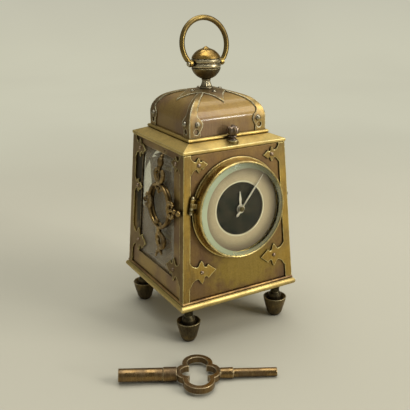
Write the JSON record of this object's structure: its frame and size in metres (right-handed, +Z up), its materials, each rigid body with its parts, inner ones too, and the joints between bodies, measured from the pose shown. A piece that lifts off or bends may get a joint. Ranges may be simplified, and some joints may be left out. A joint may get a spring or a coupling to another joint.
{
  "type": "lantern clock",
  "caption": "Small brass clock in a four-sided lantern case with a domed top, ring handle, bevelled windows, hinged glazed bezel and geared hands, with its double-ended winding key.",
  "frame": {"origin": "on the floor, below the middle of the case, midway between the four feet", "axes": "+Z up, -Y out of the dial towards the viewer, +X to the viewer's right"},
  "size_m": [0.107, 0.1137, 0.1561],
  "materials": {
    "brass_moulding": "polished brass, worn bright on the edges",
    "copper_bead": "dull copper-coloured bead",
    "dark_bronze": "dark patinated bronze",
    "brass_posts": "brushed brass with patina in the corners",
    "copper_panel": "copper-bronze with a mottled brown patina",
    "rivets": "bright copper-pink rivet heads",
    "silver_rivets": "pale silvery rivet heads",
    "copper_frames": "brown-purple patina",
    "side_glass": "bevelled clear glass",
    "ornament": "dark bronze casting with bright worn tops",
    "door_glass": "clear flat glass",
    "brass_small": "plain turned brass",
    "brass_top": "brushed yellow brass",
    "copper_dome": "bronze with a mottled brown patina",
    "brass_straps": "olive brass, bright on the edges",
    "pale_metal": "pale silvery metal",
    "brass_cap": "polished brass",
    "brass_ring": "polished brass with patina",
    "button_bronze": "dark polished bronze",
    "steel": "plain steel",
    "brass_bezel": "polished brass",
    "dial_glass": "bevelled clear glass with a greenish edge",
    "dial_silver": "plain matt silvered dial",
    "dial_dark": "dark matt enamel",
    "hands": "pale polished steel",
    "movement_brass": "clean lacquered brass",
    "platform_steel": "plated platform",
    "key_bronze": "worn brown bronze"
  },
  "bodies": {
    "case": {"base_moulding": "brass_moulding", "base_bead": "copper_bead", "foot_front_left": "dark_bronze", "foot_front_right": "dark_bronze", "foot_back_right": "dark_bronze", "foot_back_left": "dark_bronze", "post_front_left": "brass_posts", "post_front_right": "brass_posts", "post_back_right": "brass_posts", "post_back_left": "brass_posts", "front_panel": "copper_panel", "strap_rivets": "rivets", "side_frame_right": "copper_frames", "side_frame_left": "copper_frames", "side_pane_right": "side_glass", "side_pane_left": "side_glass", "side_cross_right": "ornament", "side_cross_left": "ornament", "door_hinge_pins": "brass_small", "top_plate": "brass_top", "dome_base": "brass_top", "dome_shell": "copper_dome", "dome_straps": "brass_straps", "dome_star": "brass_straps", "dome_rivets": "silver_rivets", "finial_stud": "brass_small", "finial_neck": "pale_metal", "finial_bowl": "dark_bronze", "finial_belt": "pale_metal", "finial_cap": "brass_cap", "button_spring": "steel", "button_bush": "brass_small", "bezel_seat": "brass_bezel", "bezel_hinge_pin": "pale_metal", "chapter_ring": "dial_silver", "dial_centre": "dial_dark", "front_plate": "movement_brass", "back_plate": "movement_brass", "plate_pillars": "movement_brass", "balance_bridge": "platform_steel"},
    "ring": {"ring_handle": "brass_ring"},
    "button": {"push_button": "button_bronze"},
    "bezel": {"bezel_ring": "brass_bezel", "bezel_glass": "dial_glass"},
    "door": {"back_door": "copper_frames", "door_pane": "door_glass", "door_knob": "brass_small"},
    "centre_arbor": {"centre_wheel": "movement_brass", "minute_hand": "hands", "hand_nut": "brass_small"},
    "hour_pipe": {"hour_wheel": "movement_brass", "hour_hand": "hands"},
    "motion_wheel": {"minute_wheel": "movement_brass"},
    "great_barrel": {"barrel": "movement_brass"},
    "third": {"third_wheel": "movement_brass"},
    "arbor": {"winding_arbor": "steel"},
    "balance": {"balance_wheel": "movement_brass"},
    "key": {"winding_key": "key_bronze"}
  },
  "joints": [
    {"name": "ring_swing", "type": "hinge", "parent": "case", "child": "ring", "pos_m": [0, 0, 0.1336], "axis": [1, 0, 0], "range_deg": [-122, 138]},
    {"name": "button_press", "type": "slide", "parent": "case", "child": "button", "axis": [0, 0, -1], "range_m": [0, 0.0015], "stiffness_N_per_m": 300, "springref_m": -0.001, "deforming": ["button_spring"]},
    {"name": "bezel_open", "type": "hinge", "parent": "case", "child": "bezel", "pos_m": [-0.02582, -0.03075, 0.07255], "axis": [-0.2079, -0.0584, -0.9764], "range_deg": [0, 110]},
    {"name": "door_open", "type": "hinge", "parent": "case", "child": "door", "pos_m": [-0.0287, 0.03365, 0.02417], "axis": [0.0596, -0.0596, 0.9964], "range_deg": [0, 110]},
    {"name": "minute_turn", "type": "hinge", "parent": "case", "child": "centre_arbor", "pos_m": [0, -0.02993, 0.067], "axis": [0, 0.9982, -0.0597], "continuous": true},
    {"name": "motion_turn", "type": "hinge", "parent": "case", "child": "motion_wheel", "pos_m": [-0.00564, -0.02606, 0.06472], "axis": [0, 0.9982, -0.0597], "continuous": true},
    {"name": "hour_turn", "type": "hinge", "parent": "case", "child": "hour_pipe", "pos_m": [0, -0.02993, 0.067], "axis": [0, 0.9982, -0.0597], "continuous": true},
    {"name": "barrel_turn", "type": "hinge", "parent": "case", "child": "great_barrel", "pos_m": [-0.00558, -0.01568, 0.05417], "axis": [0, 0.9982, -0.0597], "continuous": true},
    {"name": "third_turn", "type": "hinge", "parent": "case", "child": "third", "pos_m": [0.00742, -0.01951, 0.07382], "axis": [0, 0.9982, -0.0597], "continuous": true},
    {"name": "winding_turn", "type": "hinge", "parent": "case", "child": "arbor", "pos_m": [-0.00558, -0.01568, 0.05417], "axis": [0, 0.9982, -0.0597], "continuous": true},
    {"name": "balance_swing", "type": "hinge", "parent": "case", "child": "balance", "pos_m": [0.01, 0.0206, 0.0745], "axis": [0, 0.9982, -0.0597], "range_deg": [-135, 135], "stiffness_Nm_per_rad": 0.000003},
    {"name": "key_lift", "type": "slide", "parent": "case", "child": "key", "axis": [0, 0, 1], "range_m": [0, 0.03]}
  ],
  "couplings": [
    {"joint": "motion_turn", "follows": "minute_turn", "ratio": -0.33333},
    {"joint": "hour_turn", "follows": "minute_turn", "ratio": 0.083333},
    {"joint": "barrel_turn", "follows": "minute_turn", "ratio": -0.17857},
    {"joint": "third_turn", "follows": "minute_turn", "ratio": -6}
  ]
}
